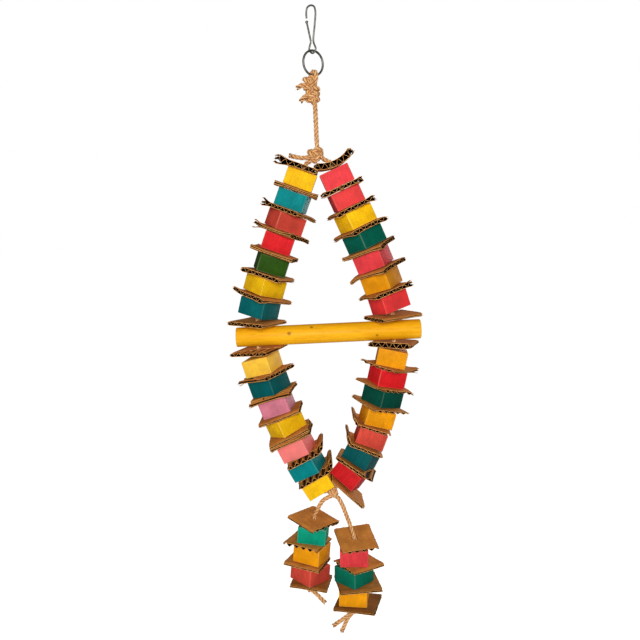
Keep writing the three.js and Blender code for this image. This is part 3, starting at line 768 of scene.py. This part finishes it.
linerGrid = sheetGrid("liner_grid", cardShape["cuts"], cardShape["cuts"])
stripGrid = sheetGrid("strip_grid", cardShape["cuts"], 1)
waveGrids = {
    waves: sheetGrid("wave_grid", waves * cardShape["waveCuts"], cardShape["alongCuts"])
    for waves in cardShape["waves"]
}


# How far points lie from the cord towards a direction, and how far to the left of it
def towards(one, direction, u, v):
    angle = math.radians(direction - one["turn"])
    ex, ey = math.cos(angle), math.sin(angle)
    return u * ex + v * ey, v * ex - u * ey


def wavesOf(one):
    return round(one["side"] / bead["flutePitch"])


# Where a layer's points lie from the cord across the flutes (u) and along them (v), before it is bent, and
# how far across the flutes from the middle of the card
def layerPlan(one, layer, xy, rng):
    side, turn = one["side"], math.radians(one["turn"])
    across, along = one["shift"] * math.cos(turn), -one["shift"] * math.sin(turn)
    rim = np.abs(xy).max(axis=1) > side / 2 - cardShape["near"]
    shrink = 1 - rim * rng.uniform(0, 2 * cardShape["ragged"] / side, len(xy))
    edge = np.abs(xy[:, 0])
    if layer == "strip":
        return xy[:, 0] * cardShape["stripShare"] + across, np.full(len(xy), cardShape["strip"]), edge
    if layer in ends:
        edge = np.full(len(xy), side / 2 - cardShape["endInset"])
        return ends[layer] * edge + across, xy[:, 0] * cardShape["endShare"] + along, edge
    return xy[:, 0] * shrink + across, xy[:, 1] * shrink + along, edge


# Their heights (w) from the middle of the card, pinched towards its edges
def layerHeights(one, layer, xy, u, v, edge):
    side, lift = one["side"], layers[layer]["lift"]
    half = one["half"] + cardShape["swell"]
    wave = cardShape["flatness"] * np.cos(2 * math.pi * wavesOf(one) * (xy[:, 0] / side + 0.5))
    wave = -np.arcsin(wave) / math.asin(cardShape["flatness"])
    puff = np.full(len(xy), one.get("puff", 0) / 2)
    if "gape" in one:
        direction, amount = one["gape"]
        ahead, _ = towards(one, direction, u, v)
        puff += eased(*cardShape["gapeBand"], ahead) * amount / 2
    inner = half - cardShape["liner"] + puff
    if layer == "medium":
        w = wave * (inner - cardShape["medium"] / 2) + puff
    elif lift:
        w = lift * (half - cardShape["liner"] / 2 + puff) + puff + cardShape["ripple"] * (wave - lift) / 2
    else:
        w = xy[:, 1] / side * 2 * inner + puff
    pinchFrom, pinchTo = (side / 2 - inset for inset in cardShape["pinchBand"])
    return w * (1 - cardShape["pinch"] * eased(pinchFrom, pinchTo, edge))


def flatLayer(one, layer, name, rng):
    spec = layers[layer]
    grid = linerGrid if spec["lift"] else stripGrid
    if layer == "medium":
        spec = rippedMedium if "rip" in one else baredMedium if "bare" in one else spec
        grid = waveGrids[wavesOf(one)]
    sheet = copyOf(grid, f"{name}_{layer}")
    xy = coordsOf(sheet.data)[:, :2] * one["side"]
    u, v, edge = layerPlan(one, layer, xy, rng)
    w = layerHeights(one, layer, xy, u, v, edge)
    hole, bore = np.hypot(u, v), cardShape["hole"] / 2
    doomed = hole < bore
    pulled = (bore + cardShape["holeRim"]) / np.maximum(hole, cardShape["near"])
    grow = np.where(hole < bore + cardShape["holeSnap"], pulled, 1)  # makes the hole round
    u, v = u * grow, v * grow
    torn = {"top": "rip", "foot": "bare"}.get(layer)
    if torn in one:
        direction, reach = one[torn]
        ahead, aside = towards(one, direction, u, v)
        depth, rate = cardShape["tearWave"]
        ragged = rng.uniform(-cardShape["tearRough"], cardShape["tearRough"], len(u))
        doomed |= ahead > reach + depth * np.sin(rate * aside) + ragged
    setCoords(sheet.data, np.column_stack([u, v, w]) * mm)
    deleteVertices(sheet, doomed)
    faces = sheet.data.polygons
    faces.foreach_set("material_index", np.full(len(faces), spec["face"], np.int32))
    thick = cardShape["medium"] if layer == "medium" else cardShape["liner"]
    applyModifier(
        sheet, "SOLIDIFY", thickness=thick * mm, offset=0,
        material_offset=spec["back"], material_offset_rim=spec["rim"],
    )
    return sheet


# How far each point lies past the tear of the foot liner, from 0 to 1
def bareness(one, coords):
    if "bare" not in one:
        return np.zeros(len(coords))
    direction, reach = one["bare"]
    ahead, _ = towards(one, direction, coords[:, 0], coords[:, 1])
    return eased(reach - cardShape["bareBand"], reach + cardShape["bareBand"], ahead)


# Bends past the reach of a turning block, then the card's curl or fold
def bentLayer(one, coords, opening, bends, peels):
    u, v, w = coords.T
    clear, full = cardShape["blockMargin"]
    margin = eased(sweep + clear, sweep + full, np.hypot(u, v))
    for index, (sx, sy) in enumerate(((1, 1), (-1, 1), (-1, -1), (1, -1))):
        corner = eased(*cardShape["cornerBand"], (u * sx + v * sy) * math.sqrt(0.5)) * margin
        w = w + corner * (bends[index] + opening * peels[index])
    for key, sign in (("split", opening), ("droop", -1)):
        if key in one:
            direction, amount = one[key]
            ahead, _ = towards(one, direction, u, v)
            w = w + eased(*cardShape["edgeBand"], ahead) * margin * amount * sign
    if "curl" in one:
        radius = one["curl"]
        u, w = (radius - w) * np.sin(u / radius), radius - (radius - w) * np.cos(u / radius)
    if "fold" in one:
        fold = math.radians(one["fold"])
        crease = math.copysign(cardShape["crease"], fold)
        bent = (u - crease) * fold > 0
        du, dw = u - crease, w - one["half"]
        u = np.where(bent, crease + du * math.cos(fold) - dw * math.sin(fold), u)
        w = np.where(bent, one["half"] + du * math.sin(fold) + dw * math.cos(fold), w)
    return np.column_stack([u, v, w])


def makeCard(one, name, seed, calm):
    rng = np.random.default_rng(seed)
    least, most, peel = cardShape["peel"]
    bends = rng.uniform(-1, 1, 4) * cardShape["bend"] * calm
    peels = rng.uniform(least, most, 4) * peel * calm
    paperSeed = seed * cardShape["seedStep"] % cardShape["seedSpan"]
    sheets = []
    for layer in layers:
        sheet = flatLayer(one, layer, name, rng)
        coords = coordsOf(sheet.data)
        setAttribute(sheet.data, "cardPlace", coords)
        setAttribute(sheet.data, "cardSeed", paperSeed)
        setAttribute(sheet.data, "cardTone", one["tone"])
        setAttribute(sheet.data, "cardOpen", bareness(one, coords / mm))
        opening = layers[layer]["lift"] or cardShape["mediumShare"] * np.sign(bends[0])
        setCoords(sheet.data, bentLayer(one, coords / mm, opening, bends, peels) * mm)
        sheets.append(sheet)
    made = joinAll(sheets, name)
    smoothBy(made, cardShape["smooth"])
    made.data.transform(seatOf(one))
    return made


for order, (name, beads) in enumerate(strands.items()):
    for number, one in enumerate([b for b in beads if b["isCard"]], 1):
        calm = cardShape["calm"] if "tassel" in name or "tilt" in one or "fold" in one else 1.0
        piece = makeCard(one, f"{name}_corrugated_card_{number}", 100 * order + number, calm)
        isOwn = one.get("own") or "tassel" in name
        dress(piece, f"{name}_card_{number}" if isOwn else f"{name}_cord", "kraft" if isOwn else "strand")
for grid in (linerGrid, stripGrid, *waveGrids.values()):
    bpy.data.objects.remove(grid)
print("cards in place")

# Sisal rope: three strands laid round each path, with loose fibres
ropeShape = {
    "strands": 3, "pitch": 13, "offset": 1.08, "radius": 1.22, "sides": 8, "step": 0.8, "splay": 1.6,
    "splayLength": 7, "splayTaper": 0.3, "wander": (0.06, 0.9), "swell": (0.05, 1.7), "phase": 6.28,
    "curveCuts": 20, "laneWidth": 0.8, "laneStep": (40, 9), "seed": 5, "smooth": 60,
}
fuzz = {
    "perMillimetre": 3.2, "length": (1.6, 4.6), "radius": 0.065, "taper": (1, 0.8, 0.4), "sides": 3,
    "steps": (0, 0.5, 1), "root": 0.7, "lean": (0.5, 1.4), "along": 0.7, "out": 0.25, "lift": (-0.03, 0.06),
    "lanes": 30,
}


# A smooth path through the points in even steps, and the length up to each of them
def evenPath(points, step):
    points = np.asarray(points, float)
    padded = np.vstack([2 * points[0] - points[1], points, 2 * points[-1] - points[-2]])
    fine = []
    for i in range(len(points) - 1):
        a, b, c, d = padded[i:i + 4]
        t = np.linspace(0, 1, ropeShape["curveCuts"], endpoint=False)[:, None]
        square, cube = 2 * a - 5 * b + 4 * c - d, 3 * b - a - 3 * c + d
        fine.append(0.5 * (2 * b + (c - a) * t + square * t**2 + cube * t**3))
    fine = np.vstack([*fine, points[-1:]])
    reach = np.r_[0, np.cumsum(np.linalg.norm(np.diff(fine, axis=0), axis=1))]
    stops = np.linspace(0, reach[-1], max(4, round(reach[-1] / step)) + 1)
    return np.column_stack([np.interp(stops, reach, fine[:, k]) for k in range(3)]), stops


# Directions ahead, sideways and across at each point of a path, carried on without a twist
def crossFrames(path):
    ahead = np.gradient(path, axis=0)
    ahead /= np.linalg.norm(ahead, axis=1)[:, None]
    start = np.cross(ahead[0], (0.31, 0.86, 0.4))  # a direction that no rope starts in
    sideways = [start / np.linalg.norm(start)]
    for direction in ahead[1:]:
        carried = sideways[-1] - direction * (sideways[-1] @ direction)
        sideways.append(carried / np.linalg.norm(carried))
    sideways = np.array(sideways)
    return ahead, sideways, np.cross(ahead, sideways)


ropeRng = np.random.default_rng(ropeShape["seed"])


# Gathers the strands and fibres of one rope into one mesh
class RopeMesh:
    def __init__(self):
        self.points, self.faces, self.places, self.count = [], [], [], 0

    def addTube(self, centre, radius, sides, along, lane, core=None):
        ahead, sideways, across = crossFrames(centre)
        turns = (np.arange(sides) * 2 * math.pi / sides)[None, :, None]
        radius = np.broadcast_to(radius, len(centre))
        ring = np.cos(turns) * sideways[:, None] + np.sin(turns) * across[:, None]
        self.points.append((centre[:, None] + ring * radius[:, None, None]).reshape(-1, 3))
        place = np.zeros((len(centre), sides, 3))
        place[:, :, 0] = along[:, None]
        place[:, :, 1] = np.abs(np.arange(sides) - sides / 2) * ropeShape["laneWidth"] + lane
        if core is not None:  # how far each point faces out of the rope, for the painted shade in the grooves
            outward = centre - core
            outward /= np.linalg.norm(outward, axis=1)[:, None]
            place[:, :, 2] = (0.5 + 0.5 * (ring * outward[:, None]).sum(2)) / mm
        self.places.append(place.reshape(-1, 3))
        first = self.count
        for i in range(len(centre) - 1):
            for k in range(sides):
                n = (k + 1) % sides
                a, b = first + i * sides, first + (i + 1) * sides
                self.faces.append((a + k, a + n, b + n, b + k))
        self.faces.append(tuple(first + k for k in reversed(range(sides))))
        last = first + (len(centre) - 1) * sides
        self.faces.append(tuple(last + k for k in range(sides)))
        self.count += len(centre) * sides

    def addRope(self, points, openEnd=False):
        rng = ropeRng
        path, stops = evenPath(points, ropeShape["step"])
        ahead, sideways, across = crossFrames(path)
        splay = np.zeros(len(path))
        if openEnd:
            splay = 1 - eased(0, ropeShape["splayLength"], stops[-1] - stops)
        phase = rng.uniform(0, ropeShape["phase"])
        wander, wanderRate = ropeShape["wander"]
        swell, swellRate = ropeShape["swell"]
        alongStep, laneStep = ropeShape["laneStep"]
        for k in range(ropeShape["strands"]):
            angle = 2 * math.pi * (stops / ropeShape["pitch"] + k / ropeShape["strands"]) + phase
            angle = angle[:, None]
            reach = ropeShape["offset"] * (1 + (ropeShape["splay"] - 1) * splay)
            reach = reach * (1 + wander * np.sin(stops * wanderRate + 2 * k))
            line = path + reach[:, None] * (np.cos(angle) * sideways + np.sin(angle) * across)
            radius = ropeShape["radius"] * (1 + swell * np.sin(stops * swellRate + 4 * k))
            radius = radius * (1 - ropeShape["splayTaper"] * splay)
            self.addTube(line, radius, ropeShape["sides"], stops + alongStep * k, laneStep * k, path)
        thinned = np.array(fuzz["taper"]) * fuzz["radius"]
        for _ in range(int(stops[-1] * fuzz["perMillimetre"])):
            at = rng.integers(1, len(path) - 1)
            angle, length = rng.uniform(0, ropeShape["phase"]), rng.uniform(*fuzz["length"])
            out = math.cos(angle) * sideways[at] + math.sin(angle) * across[at]
            lean = ahead[at] * rng.choice((-1, 1)) * rng.uniform(*fuzz["lean"])
            base = path[at] + out * (ropeShape["offset"] + ropeShape["radius"] * fuzz["root"])
            steps = np.array(fuzz["steps"])[:, None] * length
            hair = base + steps * (lean * fuzz["along"] + out * fuzz["out"])
            hair = hair + steps**2 * out * rng.uniform(*fuzz["lift"])
            self.addTube(hair, thinned, fuzz["sides"], steps[:, 0] + at, rng.uniform(0, fuzz["lanes"]))

    def made(self, name):
        mesh = bpy.data.meshes.new(name)
        mesh.from_pydata(np.vstack(self.points) * mm, [], self.faces)
        setAttribute(mesh, "cordPlace", np.vstack(self.places) * mm)
        obj = newObject(name, mesh)
        smoothBy(obj, ropeShape["smooth"])
        return obj


# Knots: a winding of rope, lumps over it and loose ends. Points and places are from the knot's top, and a
# lump has its place, its size, its tip and its turn.
knotShape = {"windingCuts": 12, "lead": 10, "wobble": (0.1, 2.3), "lumpCuts": 30, "lumpDepth": 1.3}
tails = {
    "ring": [[(-1, -1, -4), (-11, -5, -3), (-17, -6, -6)], [(-1, -1, -12), (-9, -6, -14), (-14, -8, -19)]],
    "apex": [[(-1, -2, -7), (-14, -3, -9), (-28, -3, -6)]],
    "left_tassel": [[(0, 0, -7), (8, -2, -14), (16, -3, -23)]],
    "right_tassel": [
        [(0, 0, -7), (-8, -2, -16), (-15, -3, -30)], [(0, 0, -7), (-11, -3, -14), (-24, -4, -22)],
    ],
}
lumps = {
    "ring": [((-4.5, -3, 0.5), 1.7, 65, 10), ((-5, -2, -8), 1.95, 60, 80), ((-3, -1, -15.5), 1.8, 55, 150)],
    "apex": [((-2, -1, -6), 2.25, 72, 0)],
    "bottom": [((0, 0, -4), 1.35, 55, 40)],
    "tassel": [((0, 0, -4.5), 1.3, 60, 70)],
}


def windingPoints(top, turns):
    radius = bead["cord"] - hang["knotOverlap"]
    wobble, rate = knotShape["wobble"]
    points = []
    for t in np.linspace(0, 1, round(knotShape["windingCuts"] * turns) + 1):
        angle = 2 * math.pi * turns * t
        led = min(1, knotShape["lead"] * min(t, 1 - t)) * radius * (1 + wobble * math.sin(rate * angle))
        drop = hang["knotPitch"] * turns * t + cordRadius
        points.append(np.array(top) + (led * math.cos(angle), led * math.sin(angle), -drop))
    return points


# One tight lump of a knot: a three-lobed loop of rope, tipped back and turned
def lumpPoints(top, place, size, tip, turn):
    shape = turned(turn, "Z") @ turned(tip, "X")
    points = []
    for t in np.linspace(0, 2 * math.pi, knotShape["lumpCuts"] + 1):
        x, y = math.sin(t) + 2 * math.sin(2 * t), math.cos(t) - 2 * math.cos(2 * t)
        lobe = shape @ Vector((x, y, -knotShape["lumpDepth"] * math.sin(3 * t)))
        points.append(np.array(top) + place + np.array(lobe) * size)
    return points


def addKnot(rope, kind, top, turns, looseEnds):
    rope.addRope(windingPoints(top, turns))
    for lump in lumps[kind]:
        rope.addRope(lumpPoints(top, *lump))
    for end in looseEnds:
        rope.addRope([np.array(top) + point for point in end], openEnd=True)


hanger = RopeMesh()
ringTurn = math.radians(hang["ringTurn"])
acrossRing = np.array([-math.sin(ringTurn), math.cos(ringTurn), 0])
loop = [acrossRing * -cordRadius / 2 + (0, 0, ringKnotTop - cordRadius)]
for degree in range(-120, 121, 40):  # over the ring's wire
    angle = math.radians(degree)
    loop.append(acrossRing * loopReach * math.sin(angle) + (0, 0, ringFoot + loopReach * math.cos(angle)))
loop.append(acrossRing * cordRadius / 2 + (0, 0, ringKnotTop - cordRadius))
hanger.addRope(loop)
hanger.addRope([(0, 0, ringKnotTop), (0, 0, (ringKnotTop + apex) / 2), (0, 0, apex)])
addKnot(hanger, "ring", (0, 0, ringKnotTop), hang["ringTurns"], tails["ring"])
addKnot(hanger, "apex", (0, 0, apexKnotTop), hang["apexTurns"], tails["apex"])
hangerRope = hanger.made("hanger_rope")
hangerRope.data.materials.append(sisalFinish)
dropTop = (apexKnotTop + hang["hanger"] - hang["twistInset"]) * mm
dropFoot = (apexKnotTop + hang["twistInset"]) * mm
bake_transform(hangerRope)  # its place goes into the mesh
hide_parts("hanger_cord")


def entryTo(one):
    return one["place"] - downAlong(one["lean"]) * bead["cord"]


def placesOf(beads):
    return [one["place"] for one in beads]


# Lays a strand's rope along its routes, knots it and dresses it for the part's cord
def layRope(name, slot, *routes, knot=None):
    rope = RopeMesh()
    for route in routes:
        rope.addRope(route)
    if knot:
        addKnot(rope, *knot)
    dress(rope.made(f"{name}_rope"), f"{name}_cord", slot, sisalFinish)


apexExit = ((2, -1, 4.5), (7, -1, 0.5))  # from the foot of the apex knot
for name, side in (("upper_left", -1), ("upper_right", 1)):
    beads = strands[name]
    top = [(side * x, y, apex + z) for x, y, z in apexExit]
    end = (side * holeReach, 0, perchTop + bead["seatGap"])
    layRope(name, "strand", [*top, entryTo(beads[0]), *placesOf(beads), end])
throughReach = math.sqrt(perch["radius"] ** 2 - cordRadius**2) - bead["seatGap"]
for name, side in (("left_perch", -1), ("right_perch", 1)):
    layRope(name, "sisal", [(side * holeReach, 0, perchMiddle + z * throughReach) for z in (1, 0, -1)])

leftStart, rightStart = ((x, 0, perchFoot - bead["seatGap"]) for x in (-holeReach, holeReach))
leftExit = leftEnd + downAlong(lastLean) * (cordRadius + bead["seatGap"])
leftRoute = [leftStart, *placesOf(strands["lower_left"]), leftEnd, leftExit, (0, 0, leftExit[2])]
bottomKnotMiddle = (bottomKnotTop + bottomKnotFoot) / 2
knotCore = [(0, 0, z) for z in (bottomKnotTop, bottomKnotMiddle, bottomKnotFoot)]
bottomKnot = ("bottom", (0, 0, bottomKnotTop), hang["bottomTurns"], [])
layRope("lower_left", "strand", leftRoute, knotCore, knot=bottomKnot)
rightExit = (cordRadius, 0, bottomKnotTop + bead["seatGap"])
layRope("lower_right", "strand", [rightStart, *placesOf(strands["lower_right"]), rightEnd, rightExit])

bows = {"left_tassel": ((1, 4), (12, -2.5)), "right_tassel": ((1, 4), (8, -4))}  # out of the knot, then down
for name, side in (("left_tassel", -1), ("right_tassel", 1)):
    top, beads = tasselKnots[name], strands[name]
    foot = top - (0, 0, knotHeight(hang["tasselTurns"]))
    bow = [(side * x, 0, tasselPivot + z) for x, z in bows[name]]
    route = [*bow, entryTo(beads[0]), *placesOf(beads), top, foot]
    layRope(name, "sisal", route, knot=("tassel", top, hang["tasselTurns"], tails[name]))
print("ropes in place")

# Perch: a dowel with eased ends and two bores
perchLength = 2 * holeReach + perch["leftOverhang"] + perch["rightOverhang"]
perchShift = (perch["rightOverhang"] - perch["leftOverhang"]) / 2
selectOnly()
bpy.ops.mesh.primitive_cylinder_add(
    vertices=perch["sides"], radius=perch["radius"] * mm, depth=perchLength * mm
)
dowel = bpy.context.object
dowel.name = "dyed_dowel_perch"
bpy.ops.object.mode_set(mode="EDIT")
bpy.ops.mesh.select_mode(type="EDGE")
bpy.ops.mesh.select_all(action="DESELECT")
bpy.ops.object.mode_set(mode="OBJECT")
for edge in dowel.data.edges:  # the rims of both ends
    heights = [dowel.data.vertices[i].co.z for i in edge.vertices]
    edge.select = abs(heights[0] - heights[1]) < perch["chamfer"] * mm
bpy.ops.object.mode_set(mode="EDIT")
bpy.ops.mesh.bevel(offset=perch["chamfer"] * mm, segments=perch["chamferCuts"], affect="EDGES")
bpy.ops.object.mode_set(mode="OBJECT")
dowelSeat = Matrix.Translation((perchShift * mm, 0, perchMiddle * mm))
dowel.data.transform(dowelSeat @ turned(90, "Y"))
for x in (-holeReach, holeReach):
    drillHole(dowel, perch["bore"], perch["boreSides"], (x * mm, 0, perchMiddle * mm))
smoothBy(dowel, perch["smooth"])
dress(dowel, "perch", "perch_wood", dyedDowel())

# Ring and clip: round steel wire
wireShape = {
    "ringCuts": 72, "ringSides": 14, "clipCuts": 10, "clipSides": 4, "gateCuts": 8, "tipCuts": 20,
    "tipRings": 12, "smooth": 40,
}
selectOnly()
bpy.ops.mesh.primitive_torus_add(
    major_radius=ringReach * mm, minor_radius=hang["ringWire"] / 2 * mm,
    major_segments=wireShape["ringCuts"], minor_segments=wireShape["ringSides"],
)
ring = bpy.context.object
ring.name = "wire_ring"
ringSeat = Matrix.Translation((0, 0, (ringTop - ringReach) * mm))
ring.data.transform(ringSeat @ turned(hang["ringTurn"], "Z") @ turned(90, "X"))
bpy.ops.object.shade_smooth()
dress(ring, "steel_ring", "steel", steelFinish)


def inClip(a, z):
    turn = math.radians(hang["clipTurn"])
    return Vector((a * math.cos(turn), a * math.sin(turn), z))


# A smooth bend of wire through the points, as in the part
def bentWire(points, count):
    points = [np.array(p) for p in points]
    points = [2 * points[0] - points[1], *points, 2 * points[-1] - points[-2]]
    path = []
    for i in range(len(points) - 3):
        p = points[i:i + 4]
        t = np.cumsum([0] + [np.linalg.norm(p[k + 1] - p[k]) ** 0.5 for k in range(3)])
        for s in np.linspace(t[1], t[2], count, endpoint=False):
            a = [((t[k + 1] - s) * p[k] + (s - t[k]) * p[k + 1]) / (t[k + 1] - t[k]) for k in range(3)]
            b = [((t[k + 2] - s) * a[k] + (s - t[k]) * a[k + 1]) / (t[k + 2] - t[k]) for k in range(2)]
            path.append(((t[2] - s) * b[0] + (s - t[1]) * b[1]) / (t[2] - t[1]))
    return path + [points[-2]]


def wireAlong(path, radius, name):
    curve = bpy.data.curves.new(name, "CURVE")
    curve.dimensions = "3D"
    curve.bevel_depth, curve.bevel_resolution = radius * mm, wireShape["clipSides"]
    curve.use_fill_caps = True
    line = curve.splines.new("POLY")
    line.points.add(len(path) - 1)
    for point, place in zip(line.points, path):
        point.co = (*(Vector(place) * mm), 1)
    selectOnly(newObject(name, curve))
    bpy.ops.object.convert(target="MESH")
    wire = bpy.context.object
    smoothBy(wire, wireShape["smooth"])
    return wire


wireRadius = hang["clipWire"] / 2
legReach = hang["clipWidth"] / 2 - wireRadius
bowReach = legReach * math.sqrt(0.5)
bowShoulder = wireRadius - legReach + bowReach
eyeReach = hang["eyeWidth"] / 2 - wireRadius
eyeBelly = -(hang["neckHeight"] + 3 * hang["clipHeight"]) / 4
catchFoot = hang["gateHeight"] - hang["neckHeight"]
clipPoints = [
    (-legReach, catchFoot + hang["gateTip"] / 2), (-legReach, -legReach), (-bowReach, bowShoulder),
    (0, wireRadius), (bowReach, bowShoulder), (legReach, -legReach),
    ((legReach + hang["clipWire"]) / 2, -(hang["neckHeight"] + legReach) / 2),
    (hang["neckReach"], -hang["neckHeight"]), (eyeReach, eyeBelly), (0, -hang["clipHeight"] - wireRadius),
    (-eyeReach, eyeBelly), (-hang["neckReach"], -hang["neckHeight"]),
]
clipPath = bentWire([inClip(a, z) for a, z in clipPoints], wireShape["clipCuts"])
clip = wireAlong(clipPath, wireRadius, "bent_wire_clip")
dress(clip, "clip_wire", "steel", steelFinish)
gateFoot = inClip(-hang["neckReach"], hang["gateClearance"] - hang["neckHeight"])
gateHead = inClip(-legReach, catchFoot - hang["gateClearance"] - hang["gateTip"] / 2)
gatePath = [gateFoot.lerp(gateHead, t) for t in np.linspace(0, 1, wireShape["gateCuts"] + 1)]
gate = wireAlong(gatePath, wireRadius, "gate_rod")
selectOnly()
bpy.ops.mesh.primitive_uv_sphere_add(
    segments=wireShape["tipCuts"], ring_count=wireShape["tipRings"], radius=hang["gateTip"] / 2 * mm
)
tip = bpy.context.object
bpy.ops.object.shade_smooth()
tip.data.transform(Matrix.Translation(gateHead * mm))
gate = joinAll([gate, tip], "sprung_gate")
dress(gate, "clip_gate", "steel", steelFinish)
print("perch, ring and clip in place")
